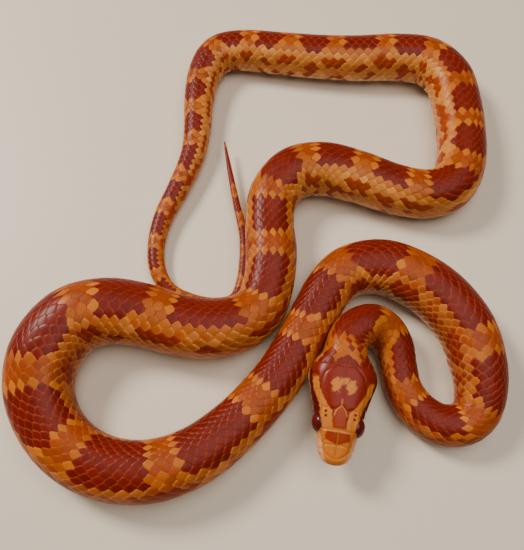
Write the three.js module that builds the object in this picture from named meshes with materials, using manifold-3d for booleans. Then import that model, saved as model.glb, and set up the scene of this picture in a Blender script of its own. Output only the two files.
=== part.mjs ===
// A corn snake lying in loose coils with its head and neck resting beside its own body, life size.
// Millimetres, +Z up, the floor at z = 0. Head to tail the animal follows one route across the floor.
// The body is a flat-bellied tube, parted by thin cuts into a neck of two lengths, a trunk of thirteen
// and a tail of three. The belly carries a stair of wide scutes, and the crown its large plates.
import * as THREE from "three";
import { mergeVertices } from "three/addons/utils/BufferGeometryUtils.js";
import Module from "manifold-3d";

const wasm = await Module();
wasm.setup();

// Driving dimensions
const TOTAL_LENGTH = 850;
const HEAD_LENGTH = 33;
const TAIL_SHARE = 0.196;
const VENT_AT = TOTAL_LENGTH * (1 - TAIL_SHARE);
const CUT = 0.3;

// Section of the body: a loaf, a little lower than wide, with a flat belly
const HEIGHT_SHARE = 0.95;
const BELLY_SHARE = 0.88;
const SQUARENESS = 2.3;
const BODY_SIDES = 14;
const TAIL_SIDES = 12;

// Belly scutes, coarser than the real ones so that each keeps a few faces
const SCUTE_LENGTH = 7;
const SUBCAUDAL_LENGTH = 8.5;
const SCUTE_STEP = 0.35;
const SCUTE_EDGE = 0.05;
const SCUTE_FLAT_FROM = 0.5;
const VENTRAL_FROM = THREE.MathUtils.degToRad(120);
const VENTRAL_FULL = THREE.MathUtils.degToRad(132);

// The route from snout to tail tip. Each row is x, y, half width and lift of the belly off the floor.
const ROUTE = [
  [22.2, -64, 6.6, 5.4],
  [23.4, -53.2, 6.6, 5.7],
  [24.6, -42.3, 6.6, 6],
  [25.8, -31.5, 6.6, 6],
  [27.2, -26.3, 6.4, 5.6],
  [30.6, -22.5, 6.6, 4.8],
  [35.4, -21.2, 6.8, 3.6],
  [39.6, -22.9, 6.5, 2],
  [42.3, -27.3, 6.2, 0.8],
  [43.4, -34, 5.8, 0],
  [44.5, -40.6, 5.7, 0],
  [48.2, -47, 5.9, 0],
  [54.4, -51.4, 6.2, 0],
  [61.2, -51.4, 6.5, 0],
  [66, -47.6, 7, 0],
  [68, -41, 7.8, 0],
  [68, -33, 8.6, 0],
  [65.8, -22.2, 9.1, 0],
  [59.4, -11.8, 9.3, 0],
  [50.4, -4.4, 9.3, 0],
  [40, -0.2, 9.1, 0],
  [29.4, -1.6, 8.6, 0],
  [22.6, -7.4, 8, 0],
  [17.6, -15.6, 7.6, 0],
  [12.6, -24.8, 7.6, 0],
  [6.4, -35.4, 7.7, 0],
  [-1, -44.8, 7.9, 0],
  [-9.6, -53.4, 8.2, 0],
  [-20, -61, 8.7, 0],
  [-32.4, -65.2, 9, 0],
  [-44.8, -64.7, 9.1, 0],
  [-55.8, -60, 9.2, 0],
  [-64.2, -51.6, 9.5, 0],
  [-68.6, -40.8, 10.3, 0],
  [-67.6, -29.4, 11, 0],
  [-60.8, -19.6, 11, 0],
  [-50.2, -16.2, 10.6, 0],
  [-38.4, -17.4, 10.1, 0],
  [-27, -20.6, 9.7, 0],
  [-16.2, -21.8, 9.4, 0],
  [-6.8, -19.6, 9, 0],
  [-0.6, -14, 8.5, 0],
  [2.2, -5.4, 8.4, 0],
  [3.2, 5.2, 8.6, 0],
  [2.6, 17, 8.4, 0],
  [4.4, 28, 8.7, 0],
  [11.4, 36.2, 9.2, 0],
  [22.2, 38, 9.3, 0],
  [34.6, 34.8, 9, 0],
  [46.8, 30.2, 8.6, 0],
  [58.4, 28.2, 8.4, 0],
  [67.4, 31.6, 8.4, 0],
  [72.2, 41.2, 8.5, 0],
  [73.8, 54, 8.6, 0],
  [73.8, 67, 8.7, 0],
  [72, 79, 8.8, 0],
  [64.6, 87.4, 8.8, 0],
  [52.2, 89.6, 8.6, 0],
  [37.6, 89.4, 8.3, 0],
  [22.2, 90.4, 8, 0],
  [7, 92.2, 7.8, 0],
  [-7.8, 94, 7.5, 0],
  [-17.6, 91.8, 7.1, 0],
  [-22.6, 83, 6.3, 0],
  [-24.3, 71, 5.6, 0],
  [-24.5, 57.4, 5, 0],
  [-25.9, 46, 4.4, 0],
  [-30.3, 33, 3.9, 0],
  [-35, 21.6, 3.4, 0],
  [-37, 10.8, 3, 0],
  [-36, 1, 2.8, 0],
  [-31.4, -6.4, 2.5, 0],
  [-24, -10, 2.3, 0],
  [-16.2, -11.4, 2.2, 0],
  [-9.6, -9.6, 2, 0],
  [-7, -3.4, 1.9, 0.1],
  [-6.2, 4.4, 1.75, 0.5],
  [-6.6, 14.4, 1.5, 1.2],
  [-9.3, 27, 1.25, 2.2],
  [-11.9, 40, 0.9, 3.5],
  [-14, 51.5, 0.35, 4.8],
];

// Where the thin cuts part the animal, as distances from the snout
const CUTS_AT = [
  ["neck_1", 33, 60], ["neck_2", 60, 96],
  ["body_01", 96, 140], ["body_02", 140, 184], ["body_03", 184, 232], ["body_04", 232, 280],
  ["body_05", 280, 326], ["body_06", 326, 372], ["body_07", 372, 412], ["body_08", 412, 452],
  ["body_09", 452, 496], ["body_10", 496, 542], ["body_11", 542, 588], ["body_12", 588, 636],
  ["body_13", 636, VENT_AT],
  ["tail_1", VENT_AT, 738], ["tail_2", 738, 790], ["tail_tip", 790, TOTAL_LENGTH],
];

// Head: distance from the snout, half width, height of the crown and depth of the chin from mid height
const HEAD_STATIONS = [
  [0, 1.9, 1.1, 1.2], [0.8, 3.1, 1.9, 1.8], [2, 4.1, 2.5, 2.4], [4, 4.9, 3.1, 2.9], [6, 5.5, 3.7, 3.2],
  [9, 6.2, 4.4, 3.6],
  [13, 7, 5.1, 4], [18, 8.3, 5.6, 4.5], [23, 9.5, 5.9, 5], [27, 9.9, 6, 5.4],
  [30, 9, 6, 5.6], [33, 7.1, 6, 5.7],
];
const HEAD_SIDES = 24;
const HEAD_STEPS = 24;
const HEAD_SQUARENESS = 2.5;
const LIP_BULGE = 0.35;

// Mouth: the gap between the upper head and the lower jaw, as distance from the snout and height
const MOUTH_LINE = [[1.1, -0.9], [5, -1.5], [10, -2], [16, -2.3], [21, -1.7], [25.5, -0.6]];
const JAW_BACK = 26;
const MOUTH_GAP = 0.35;

// Eyes and nostrils
const EYE_RADIUS = 2.9;
const EYE_AT = [11.6, 5.3, 1.1];
const SOCKET_GAP = 0.3;
const NOSTRIL_RADIUS = 0.55;
const NOSTRIL_AT = [2.3, 4.2, 0.7];

// Crown plates, as outlines over the left half of the head: distance from the snout, distance from the
// midline. The frontal is whole, the others come in pairs.
const PLATE_RISE = 0.3;
const PLATES = {
  internasal: [[2.7, 0.2], [2.7, 2], [4, 3.2], [5.1, 3.1], [5.2, 0.2]],
  prefrontal: [[5.7, 0.2], [5.6, 3.3], [7.1, 4.6], [9.1, 4.5], [9.3, 2.7], [9.5, 0.2]],
  supraocular: [[9.6, 2.9], [9.5, 4.6], [11.7, 5.6], [14.9, 5.4], [15.4, 3.6], [13.1, 2.9]],
  parietal: [[16.7, 0.2], [15.3, 2], [15.7, 5.5], [19.5, 6.7], [24.9, 6], [28, 3], [27.6, 0.2]],
};
const FRONTAL = [[9.9, -2.5], [9.9, 2.5], [12.9, 2.3], [14.9, 1.7], [16.2, 0], [14.9, -1.7], [12.9, -2.3]];

// Colours, roughness and metalness of the animal
const SKIN = { color: 0x9c3412, roughness: 0.42, metalness: 0 };
const CROWN = { color: 0xb04a18, roughness: 0.38, metalness: 0 };
const LIPS = { color: 0xd98a45, roughness: 0.42, metalness: 0 };
const EYE = { color: 0x6e1210, roughness: 0.08, metalness: 0 };

// The route as two curves that share one parameter: the plan, and the half width with the lift
function curveOf(pick) {
  const points = ROUTE.map((row) => new THREE.Vector3(...pick(row)));
  return new THREE.CatmullRomCurve3(points, false, "catmullrom", 0.5);
}
const planCurve = curveOf(([x, y]) => [x, y, 0]);
const girthCurve = curveOf(([, , half, lift]) => [half, lift, 0]);

// Distance along the plan, against the curves' parameter, in even steps of the parameter
const TABLE_STEPS = 4000;
const planTable = [{ t: 0, s: 0 }];
for (let i = 1, before = planCurve.getPoint(0); i <= TABLE_STEPS; i++) {
  const here = planCurve.getPoint(i / TABLE_STEPS);
  planTable.push({ t: i / TABLE_STEPS, s: planTable[i - 1].s + here.distanceTo(before) });
  before = here;
}
const planLength = planTable[TABLE_STEPS].s;

function parameterAt(distance) {
  const wanted = THREE.MathUtils.clamp(distance / TOTAL_LENGTH, 0, 1) * planLength;
  let low = 0;
  let high = TABLE_STEPS;
  while (high - low > 1) {
    const middle = (low + high) >> 1;
    if (planTable[middle].s < wanted) low = middle;
    else high = middle;
  }
  const [a, b] = [planTable[low], planTable[high]];
  return THREE.MathUtils.lerp(a.t, b.t, (wanted - a.s) / (b.s - a.s));
}

// Everything that the shape needs at a distance from the snout
function stationAt(distance) {
  const t = parameterAt(distance);
  const plan = planCurve.getPoint(t);
  const way = planCurve.getTangent(t);
  const girth = girthCurve.getPoint(t);
  const lift = Math.max(0, girth.y);
  const halfHeight = girth.x * HEIGHT_SHARE;
  return {
    centre: new THREE.Vector3(plan.x, plan.y, lift + BELLY_SHARE * halfHeight),
    side: new THREE.Vector3(-way.y, way.x, 0),
    halfWidth: girth.x,
    halfHeight,
  };
}

const power = (v, n) => Math.sign(v) * Math.abs(v) ** (2 / n);

// How far into the belly band a place on the section lies: 0 on the flanks, 1 under the belly
function ventralShare(angle) {
  const turned = Math.min(Math.abs(angle), 2 * Math.PI - Math.abs(angle));
  return THREE.MathUtils.smoothstep(turned, VENTRAL_FROM, VENTRAL_FULL);
}

// A point of the body's skin. The angle runs from the top towards the left, and inset draws the belly in.
function skinPoint(station, angle, inset, radius) {
  const across = power(Math.sin(angle), SQUARENESS);
  const high = Math.max(power(Math.cos(angle), SQUARENESS), -BELLY_SHARE);
  const share = radius * (1 - (inset * ventralShare(angle)) / station.halfHeight);
  return station.centre
    .clone()
    .addScaledVector(station.side, across * station.halfWidth * share)
    .setZ(station.centre.z + high * station.halfHeight * share);
}

// The rings of one length: each scute starts drawn in, comes down and ends in a flat proud of the next
function ringsOf(from, to) {
  const isTail = from >= VENT_AT - 1;
  const pitch = isTail ? SUBCAUDAL_LENGTH : SCUTE_LENGTH;
  const count = Math.max(2, Math.round((to - from) / pitch));
  const step = (to - from - CUT) / count;
  const rings = [];
  for (let i = 0; i < count; i++) {
    const start = from + CUT / 2 + i * step;
    rings.push({ at: start + (i ? SCUTE_EDGE * step : 0), inset: 1 });
    rings.push({ at: start + SCUTE_FLAT_FROM * step, inset: 0 });
    rings.push({ at: start + step, inset: 0 });
  }
  return rings;
}

// A closed cylinder whose vertices are placed again by a function of the ring, the angle and the radius
function loft(sides, ringCount, place) {
  const source = new THREE.CylinderGeometry(1, 1, 1, sides, ringCount - 1);
  source.deleteAttribute("normal");
  source.deleteAttribute("uv");
  const geometry = mergeVertices(source);
  const position = geometry.getAttribute("position");
  for (let i = 0; i < position.count; i++) {
    const [x, y, z] = [position.getX(i), position.getY(i), position.getZ(i)];
    const ring = Math.round((0.5 - y) * (ringCount - 1));
    const point = place(ring, Math.atan2(x, z), Math.hypot(x, z) > 0.5 ? 1 : 0);
    position.setXYZ(i, point.x, point.y, point.z);
  }
  return geometry;
}

function bodyLength(from, to) {
  const rings = ringsOf(from, to);
  const stations = rings.map(({ at }) => stationAt(at));
  const sides = from >= VENT_AT - 1 ? TAIL_SIDES : BODY_SIDES;
  return loft(sides, rings.length, (ring, angle, radius) => {
    const station = stations[ring];
    const inset = rings[ring].inset * Math.min(SCUTE_STEP, 0.12 * station.halfWidth);
    return skinPoint(station, angle, inset, radius);
  });
}

// Solids for cutting and joining
function solidOf(geometry) {
  const plain = geometry.clone();
  plain.deleteAttribute("normal");
  plain.deleteAttribute("uv");
  const merged = mergeVertices(plain, 1e-5);
  return new wasm.Manifold(
    new wasm.Mesh({
      numProp: 3,
      vertProperties: new Float32Array(merged.getAttribute("position").array),
      triVerts: new Uint32Array(merged.index.array),
    }),
  );
}

function geometryOf(solid) {
  const largest = solid.decompose().reduce((a, b) => (a.volume() > b.volume() ? a : b));
  const { vertProperties, triVerts } = largest.getMesh();
  return new THREE.BufferGeometry()
    .setAttribute("position", new THREE.BufferAttribute(vertProperties, 3))
    .setIndex(new THREE.BufferAttribute(triVerts, 1));
}

// Head, in its own frame: x runs from the snout towards the neck, y to the left, z up from mid height
function headSizes(u) {
  const rows = HEAD_STATIONS;
  const last = rows.length - 1;
  let i = 0;
  while (i < last - 1 && rows[i + 1][0] < u) i++;
  const share = THREE.MathUtils.clamp((u - rows[i][0]) / (rows[i + 1][0] - rows[i][0]), 0, 1);
  const [before, after] = [rows[Math.max(0, i - 1)], rows[Math.min(last, i + 2)]];
  const size = (k) => {
    const slope = (a, b) => (b[k] - a[k]) / (b[0] - a[0] || 1);
    const span = rows[i + 1][0] - rows[i][0];
    const [m0, m1] = [slope(before, rows[i + 1]) * span, slope(rows[i], after) * span];
    const [p0, p1] = [rows[i][k], rows[i + 1][k]];
    const [q, q2, q3] = [share, share ** 2, share ** 3];
    return p0 * (2 * q3 - 3 * q2 + 1) + m0 * (q3 - 2 * q2 + q) + p1 * (3 * q2 - 2 * q3) + m1 * (q3 - q2);
  };
  return { half: size(1), crown: size(2), chin: size(3) };
}

function mouthHeight(u) {
  const row = MOUTH_LINE.findIndex(([at]) => at > u);
  if (row <= 0) return MOUTH_LINE[row === 0 ? 0 : MOUTH_LINE.length - 1][1];
  const [[u0, z0], [u1, z1]] = [MOUTH_LINE[row - 1], MOUTH_LINE[row]];
  return THREE.MathUtils.mapLinear(u, u0, u1, z0, z1);
}

function headPoint(u, angle, radius, rise) {
  const { half, crown, chin } = headSizes(u);
  const across = power(Math.sin(angle), HEAD_SQUARENESS);
  const high = power(Math.cos(angle), HEAD_SQUARENESS);
  const z = high * ((high > 0 ? crown : chin) + rise);
  const fromMouth = (z - mouthHeight(u)) / 1.2;
  const lips = LIP_BULGE * Math.exp(-fromMouth * fromMouth) * THREE.MathUtils.smoothstep(u, 0, 4);
  const fades = 1 - THREE.MathUtils.smoothstep(u, 24, 31);
  return new THREE.Vector3(u, across * (half + rise + lips * fades) * radius, z * radius);
}

// Steps crowd towards the snout, whose end is rounded
function headAt(ring) {
  const share = ring / HEAD_STEPS;
  return (HEAD_LENGTH - CUT / 2) * share ** 1.35;
}

function headForm(rise) {
  const form = loft(HEAD_SIDES, HEAD_STEPS + 1, (ring, angle, radius) =>
    headPoint(headAt(ring), angle, radius, rise),
  );
  return solidOf(form);
}

// An outline over the head's plan, drawn down through the whole head
function prism(outline, low, high) {
  const shape = new THREE.Shape(outline.map(([u, v]) => new THREE.Vector2(u, v)));
  const made = new THREE.ExtrudeGeometry(shape, { depth: high - low, bevelEnabled: false });
  return solidOf(made.translate(0, 0, low));
}

// A side outline, drawn through the head from left to right
function sidePrism(outline) {
  const shape = new THREE.Shape(outline.map(([u, z]) => new THREE.Vector2(u, z)));
  const wide = 30;
  const made = new THREE.ExtrudeGeometry(shape, { depth: wide, bevelEnabled: false });
  return solidOf(made.translate(0, 0, -wide / 2).rotateX(Math.PI / 2));
}

function ball(radius, centre, detail) {
  return solidOf(new THREE.SphereGeometry(radius, detail, detail / 2).translate(...centre));
}

function crownPlates() {
  const raised = headForm(PLATE_RISE);
  const outlines = [FRONTAL];
  for (const outline of Object.values(PLATES)) {
    outlines.push(outline);
    outlines.push(outline.map(([u, v]) => [u, -v]).reverse());
  }
  return outlines.map((outline) => raised.intersect(prism(outline, 0.6, 9)));
}

function jawOutline(shift) {
  const line = MOUTH_LINE.map(([u, z]) => [u, z + shift]);
  const back = JAW_BACK + shift;
  return [[-3, line[0][1]], ...line, [back, line.at(-1)[1] + 0.2], [back, -12], [-3, -12]];
}

function buildHead() {
  const whole = headForm(0);
  let upper = whole.subtract(sidePrism(jawOutline(MOUTH_GAP / 2)));
  for (const plate of crownPlates()) upper = upper.add(plate);
  const jaw = whole.intersect(sidePrism(jawOutline(-MOUTH_GAP / 2)));
  const [eyeU, eyeV, eyeZ] = EYE_AT;
  const [nostrilU, nostrilV, nostrilZ] = NOSTRIL_AT;
  for (const side of [1, -1]) {
    upper = upper.subtract(ball(EYE_RADIUS + SOCKET_GAP, [eyeU, side * eyeV, eyeZ], 16));
    upper = upper.subtract(ball(NOSTRIL_RADIUS, [nostrilU, side * nostrilV, nostrilZ], 8));
  }
  return { upper: geometryOf(upper), jaw: geometryOf(jaw) };
}

// The meshes
const materials = {};
for (const [name, look] of Object.entries({ SKIN, CROWN, LIPS, EYE })) {
  materials[name] = new THREE.MeshStandardMaterial(look);
}

function named(name, geometry, material) {
  const mesh = new THREE.Mesh(geometry, material);
  mesh.name = name;
  return mesh;
}

const headGroup = new THREE.Group();
const head = buildHead();
headGroup.add(named("head", head.upper, materials.CROWN));
headGroup.add(named("lower_jaw", head.jaw, materials.LIPS));
for (const [name, side] of [["eye_left", -1], ["eye_right", 1]]) {
  const eye = named(name, new THREE.SphereGeometry(EYE_RADIUS, 16, 10), materials.EYE);
  eye.position.set(EYE_AT[0], side * EYE_AT[1], EYE_AT[2]);
  headGroup.add(eye);
}
const nape = stationAt(HEAD_LENGTH);
const headSide = nape.side;
const headWay = new THREE.Vector3(headSide.y, -headSide.x, 0);
headGroup.applyMatrix4(new THREE.Matrix4().makeBasis(headWay, headSide, new THREE.Vector3(0, 0, 1)));
headGroup.position.copy(nape.centre).addScaledVector(headWay, -HEAD_LENGTH);

const snake = new THREE.Group();
snake.add(headGroup);
for (const [name, from, to] of CUTS_AT) {
  snake.add(named(name, bodyLength(from, to), materials.SKIN));
}

// The origin lies on the floor under the middle of the coils
const box = new THREE.Box3().setFromObject(snake, true);
const middle = box.getCenter(new THREE.Vector3());
snake.position.set(-middle.x, -middle.y, 0);

export default snake;
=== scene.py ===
import math

import bpy
import numpy as np
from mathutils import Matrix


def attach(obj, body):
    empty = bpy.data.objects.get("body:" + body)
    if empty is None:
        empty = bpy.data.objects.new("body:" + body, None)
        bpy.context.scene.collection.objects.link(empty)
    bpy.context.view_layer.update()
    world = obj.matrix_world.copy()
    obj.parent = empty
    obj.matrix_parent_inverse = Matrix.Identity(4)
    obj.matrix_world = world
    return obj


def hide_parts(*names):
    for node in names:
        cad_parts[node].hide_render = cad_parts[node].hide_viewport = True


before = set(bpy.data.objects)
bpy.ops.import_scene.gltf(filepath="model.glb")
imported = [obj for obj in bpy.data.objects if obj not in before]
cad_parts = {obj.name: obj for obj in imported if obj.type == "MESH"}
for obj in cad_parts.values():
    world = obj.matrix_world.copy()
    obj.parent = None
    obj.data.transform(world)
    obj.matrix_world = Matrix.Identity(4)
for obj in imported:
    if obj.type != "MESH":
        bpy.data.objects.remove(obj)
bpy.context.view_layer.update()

# The floor the snake lies on, with the camera and the lights.
# A flat pale sheet of smooth plastic. The camera looks almost straight down on it, tilted a little
# towards the far coils, and the light is soft and comes from the upper left.
ROUTE_SHIFT = np.array([-1.63, -13.47])
CAMERA_TILT = 22.0
CAMERA_AT = (0.0, -75.69, 187.33)
FOCAL_PX = 580.0
PHOTO_LONG_PX = 550.0
SENSOR_WIDTH = 36.0
FLOOR_SIZE = 3.0
FLOOR_GAP = 0.0003
FLOOR_PALE = (0.64, 0.545, 0.44, 1)
WINDOW_TINT = (1.0, 0.93, 0.84)
ROOM_TINT = (1.0, 0.95, 0.88)

bpy.ops.object.select_all(action="DESELECT")
bpy.ops.mesh.primitive_plane_add(size=FLOOR_SIZE, location=(0, 0, -FLOOR_GAP))
floor = bpy.context.object
floor.name = "floor"
floor_paint = bpy.data.materials.new("pale_plastic")
floor_paint.use_nodes = True
floor_shader = floor_paint.node_tree.nodes["Principled BSDF"]
floor_shader.inputs["Base Color"].default_value = FLOOR_PALE
floor_shader.inputs["Roughness"].default_value = 0.5
floor.data.materials.append(floor_paint)

camera_data = bpy.data.cameras.new("camera")
camera_data.sensor_width = SENSOR_WIDTH
camera_data.lens = SENSOR_WIDTH * FOCAL_PX / PHOTO_LONG_PX
camera_data.clip_start = 0.01
camera = bpy.data.objects.new("camera", camera_data)
bpy.context.scene.collection.objects.link(camera)
camera.location = (
    (CAMERA_AT[0] + ROUTE_SHIFT[0]) / 1000,
    (CAMERA_AT[1] + ROUTE_SHIFT[1]) / 1000,
    CAMERA_AT[2] / 1000,
)
camera.rotation_euler = (math.radians(CAMERA_TILT), 0, 0)
bpy.context.scene.camera = camera


def soft_light(name, place, size, watts, tint):
    # a round lamp that faces the middle of the floor
    data = bpy.data.lights.new(name, "AREA")
    data.shape = "DISK"
    data.size = size
    data.energy = watts
    data.color = tint
    light = bpy.data.objects.new(name, data)
    bpy.context.scene.collection.objects.link(light)
    light.location = place
    x, y, z = place
    light.rotation_euler = (math.atan2(math.hypot(x, y), z), 0, math.atan2(y, x) + math.pi / 2)


soft_light("window", (-0.62, 0.42, 0.72), size=0.3, watts=12.5, tint=WINDOW_TINT)
soft_light("ceiling", (0.3, 0.1, 1.3), size=1.2, watts=13.0, tint=ROOM_TINT)
world = bpy.data.worlds.new("room")
bpy.context.scene.world = world
world.use_nodes = True
room_light = world.node_tree.nodes["Background"]
room_light.inputs["Color"].default_value = (*ROOM_TINT, 1)
room_light.inputs["Strength"].default_value = 0.2

# The skin, one sheet from the snout to the tip of the tail.
# Soft hide that follows the snake's route over the floor, flat under the belly, and shows only
# between the scales and plates. On the head it carries the lips, the brows and the nostrils.
TOTAL_LENGTH = 850.0
HEAD_LENGTH = 33.0
HEIGHT_SHARE = 0.95
BELLY_SHARE = 0.88
SQUARENESS = 2.3
STEPS_PER_POINT = 40
SKIN_DEPTH = 0.16
SKIN_FLOOR_GAP = 0.02

# Each row is x, y, half width, lift of the belly, and the lean of the back in degrees
ROUTE = [
    (22.2, -64, 6.6, 5.4, 0),
    (23.4, -53.2, 6.6, 5.7, 0),
    (24.6, -42.3, 6.6, 6, 0),
    (25.8, -31.5, 6.6, 6, 0),
    (27.2, -26.3, 6.4, 5.6, 14),
    (30.6, -22.5, 6.6, 4.8, 24),
    (35.4, -21.2, 6.8, 3.6, 30),
    (39.6, -22.9, 6.5, 2, 30),
    (42.3, -27.3, 6.2, 0.8, 26),
    (43.4, -34, 5.8, 0, 20),
    (44.5, -40.6, 5.7, 0, 16),
    (48.2, -47, 5.9, 0, 18),
    (54.4, -51.4, 6.2, 0, 20),
    (61.2, -51.4, 6.5, 0, 10),
    (66, -47.6, 7, 0, -8),
    (68, -41, 7.8, 0, -22),
    (68, -33, 8.6, 0, -28),
    (65.8, -22.2, 9.1, 0, -25),
    (59.4, -11.8, 9.3, 0, -24),
    (50.4, -4.4, 9.3, 0, -25),
    (40, -0.2, 9.1, 0, -26),
    (29.4, -1.6, 8.6, 0, -25),
    (22.6, -7.4, 8, 0, -23),
    (17.6, -15.6, 7.6, 0, -22),
    (12.6, -24.8, 7.6, 0, -20),
    (6.4, -35.4, 7.7, 0, -17),
    (-1, -44.8, 7.9, 0, -14),
    (-9.6, -53.4, 8.2, 0, -13),
    (-20, -61, 8.7, 0, -17),
    (-32.4, -65.2, 9, 0, -18),
    (-44.8, -64.7, 9.1, 0, -13),
    (-55.8, -60, 9.2, 0, -6),
    (-64.2, -51.6, 9.5, 0, 1),
    (-68.6, -40.8, 10.3, 0, 8),
    (-67.6, -29.4, 11, 0, 17),
    (-60.8, -19.6, 11, 0, 23),
    (-50.2, -16.2, 10.6, 0, 27),
    (-38.4, -17.4, 10.1, 0, 28),
    (-27, -20.6, 9.7, 0, 29),
    (-16.2, -21.8, 9.4, 0, 28),
    (-6.8, -19.6, 9, 0, 22),
    (-0.6, -14, 8.5, 0, 12),
    (2.2, -5.4, 8.4, 0, 2),
    (3.2, 5.2, 8.6, 0, -3),
    (2.6, 17, 8.4, 0, 0),
    (4.4, 28, 8.7, 0, 7),
    (11.4, 36.2, 9.2, 0, 15),
    (22.2, 38, 9.3, 0, 20),
    (34.6, 34.8, 9, 0, 27),
    (46.8, 30.2, 8.6, 0, 22),
    (58.4, 28.2, 8.4, 0, 4),
    (67.4, 31.6, 8.4, 0, -4),
    (72.2, 41.2, 8.5, 0, -12),
    (73.8, 54, 8.6, 0, -14),
    (73.8, 67, 8.7, 0, -14),
    (72, 79, 8.8, 0, -15),
    (64.6, 87.4, 8.8, 0, -18),
    (52.2, 89.6, 8.6, 0, -19),
    (37.6, 89.4, 8.3, 0, -20),
    (22.2, 90.4, 8, 0, -20),
    (7, 92.2, 7.8, 0, -20),
    (-7.8, 94, 7.5, 0, -20),
    (-17.6, 91.8, 7.1, 0, -19),
    (-22.6, 83, 6.3, 0, -18),
    (-24.3, 71, 5.6, 0, -18),
    (-24.5, 57.4, 5, 0, -18),
    (-25.9, 46, 4.4, 0, -17),
    (-30.3, 33, 3.9, 0, -16),
    (-35, 21.6, 3.4, 0, -15),
    (-37, 10.8, 3, 0, -15),
    (-36, 1, 2.8, 0, -14),
    (-31.4, -6.4, 2.5, 0, -12),
    (-24, -10, 2.3, 0, -10),
    (-16.2, -11.4, 2.2, 0, -8),
    (-9.6, -9.6, 2, 0, -6),
    (-7, -3.4, 1.9, 0.1, -5),
    (-6.2, 4.4, 1.75, 0.5, -4),
    (-6.6, 14.4, 1.5, 1.2, -3),
    (-9.3, 27, 1.25, 2.2, -2),
    (-11.9, 40, 0.9, 3.5, 0),
    (-14, 51.5, 0.35, 4.8, 0),
]
# Distance from the snout, half width, height of the crown and depth of the chin
HEAD_STATIONS = np.array(
    [
        (0, 1.9, 1.1, 1.2),
        (0.8, 3.1, 1.9, 1.8),
        (2, 4.1, 2.5, 2.4),
        (4, 4.9, 3.1, 2.9),
        (6, 5.5, 3.7, 3.2),
        (9, 6.2, 4.4, 3.6),
        (13, 7, 5.1, 4),
        (18, 8.3, 5.6, 4.5),
        (23, 9.5, 5.9, 5),
        (27, 9.9, 6, 5.4),
        (30, 9, 6, 5.6),
        (33, 7.1, 6, 5.7),
        (36, 6.6, 6, 5.8),
    ]
)
HEAD_SQUARENESS = 2.5
# The head's own form gives way to the body's between these distances from the snout
HEAD_FADE = (31, 37)
# Distance from the snout and height of the line of the mouth
MOUTH_LINE = np.array(
    [(0, -0.9), (1.1, -0.9), (5, -1.5), (10, -2), (16, -2.3), (21, -1.7), (25.5, -0.6)],
)
EYE_AT = (11.6, 5.3, 1.1)
EYE_STRETCH = 1.12
SOCKET_RIM = 2.75
SOCKET_SHADE = 2.7
NOSTRIL_AT = (2.3, 4.2, 0.7)


def sample_route():
    rows = np.array(ROUTE, dtype=float)
    ends = np.vstack([2 * rows[0] - rows[1], rows, 2 * rows[-1] - rows[-2]])
    out = []
    for i in range(1, len(ends) - 2):
        p0, p1, p2, p3 = ends[i - 1 : i + 3]
        t = np.linspace(0, 1, STEPS_PER_POINT, endpoint=False)[:, None]
        m1, m2 = (p2 - p0) / 2, (p3 - p1) / 2
        a = 2 * t**3 - 3 * t**2 + 1
        b = t**3 - 2 * t**2 + t
        out.append(a * p1 + b * m1 + (1 - a) * p2 + (t**3 - t**2) * m2)
    out.append(rows[-1:])
    return np.vstack(out)


route = sample_route()
steps = np.hypot(*np.diff(route[:, :2], axis=0).T)
along = np.concatenate([[0], np.cumsum(steps)])
along *= TOTAL_LENGTH / along[-1]
route_way = np.gradient(route[:, :2], along, axis=0)
route_way /= np.linalg.norm(route_way, axis=1)[:, None]


def smooth(x, low, high):
    t = np.clip((x - low) / (high - low), 0, 1)
    return t * t * (3 - 2 * t)


def power(v, n):
    return np.sign(v) * np.abs(v) ** (2 / n)


def half_width(s):
    # s is a distance from the snout, in millimetres along the route
    return np.interp(s, along, route[:, 2])


def leaning(s, turn):
    # the middle of the back leans over in the coils, and the belly stays on the floor
    return turn + np.radians(np.interp(s, along, route[:, 4])) * 1.25 * (0.5 + 0.5 * np.cos(turn))


def upright(s, angle):
    # the turn from the middle of the back that leans over to this angle
    turn = angle
    for _ in range(4):
        turn = turn + 0.8 * (angle - leaning(s, turn))
    return turn


def body_form(s, angle):
    half = half_width(s)
    high = half * HEIGHT_SHARE
    lift = np.maximum(0, np.interp(s, along, route[:, 3]))
    x = np.interp(s, along, route[:, 0])
    y = np.interp(s, along, route[:, 1])
    way = np.stack([np.interp(s, along, route_way[:, k]) for k in (0, 1)])
    across = power(np.sin(angle), SQUARENESS) * half
    up = power(np.cos(angle), SQUARENESS)
    # the belly is flat where it rests
    up = np.maximum(up, -BELLY_SHARE)
    z = lift + BELLY_SHARE * high + up * high
    return np.stack([x - way[1] * across, y + way[0] * across, z], axis=-1)


nape = body_form(np.array([HEAD_LENGTH]), np.array([np.pi / 2]))[0]
nape_way = np.array([np.interp(HEAD_LENGTH, along, route_way[:, k]) for k in (0, 1)])
nape_side = np.array([-nape_way[1], nape_way[0]])
nape_at = nape[:2] - nape_side * half_width(HEAD_LENGTH)
nape_lift = np.interp(HEAD_LENGTH, along, route[:, 3])
nape_height = nape_lift + BELLY_SHARE * HEIGHT_SHARE * half_width(HEAD_LENGTH)


def head_frame(local):
    u, v, z = local[..., 0], local[..., 1], local[..., 2]
    x = nape_at[0] + nape_way[0] * (u - HEAD_LENGTH) + nape_side[0] * v
    y = nape_at[1] + nape_way[1] * (u - HEAD_LENGTH) + nape_side[1] * v
    return np.stack([x, y, nape_height + z], axis=-1)


def segment_distance(p, a, b):
    a, b = np.array(a, float), np.array(b, float)
    t = np.clip(((p - a) @ (b - a)) / ((b - a) @ (b - a)), 0, 1)
    return np.linalg.norm(p - a - t[..., None] * (b - a), axis=-1)


def line_distance(p, line):
    return np.min([segment_distance(p, a, b) for a, b in zip(line, line[1:])], axis=0)


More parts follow.
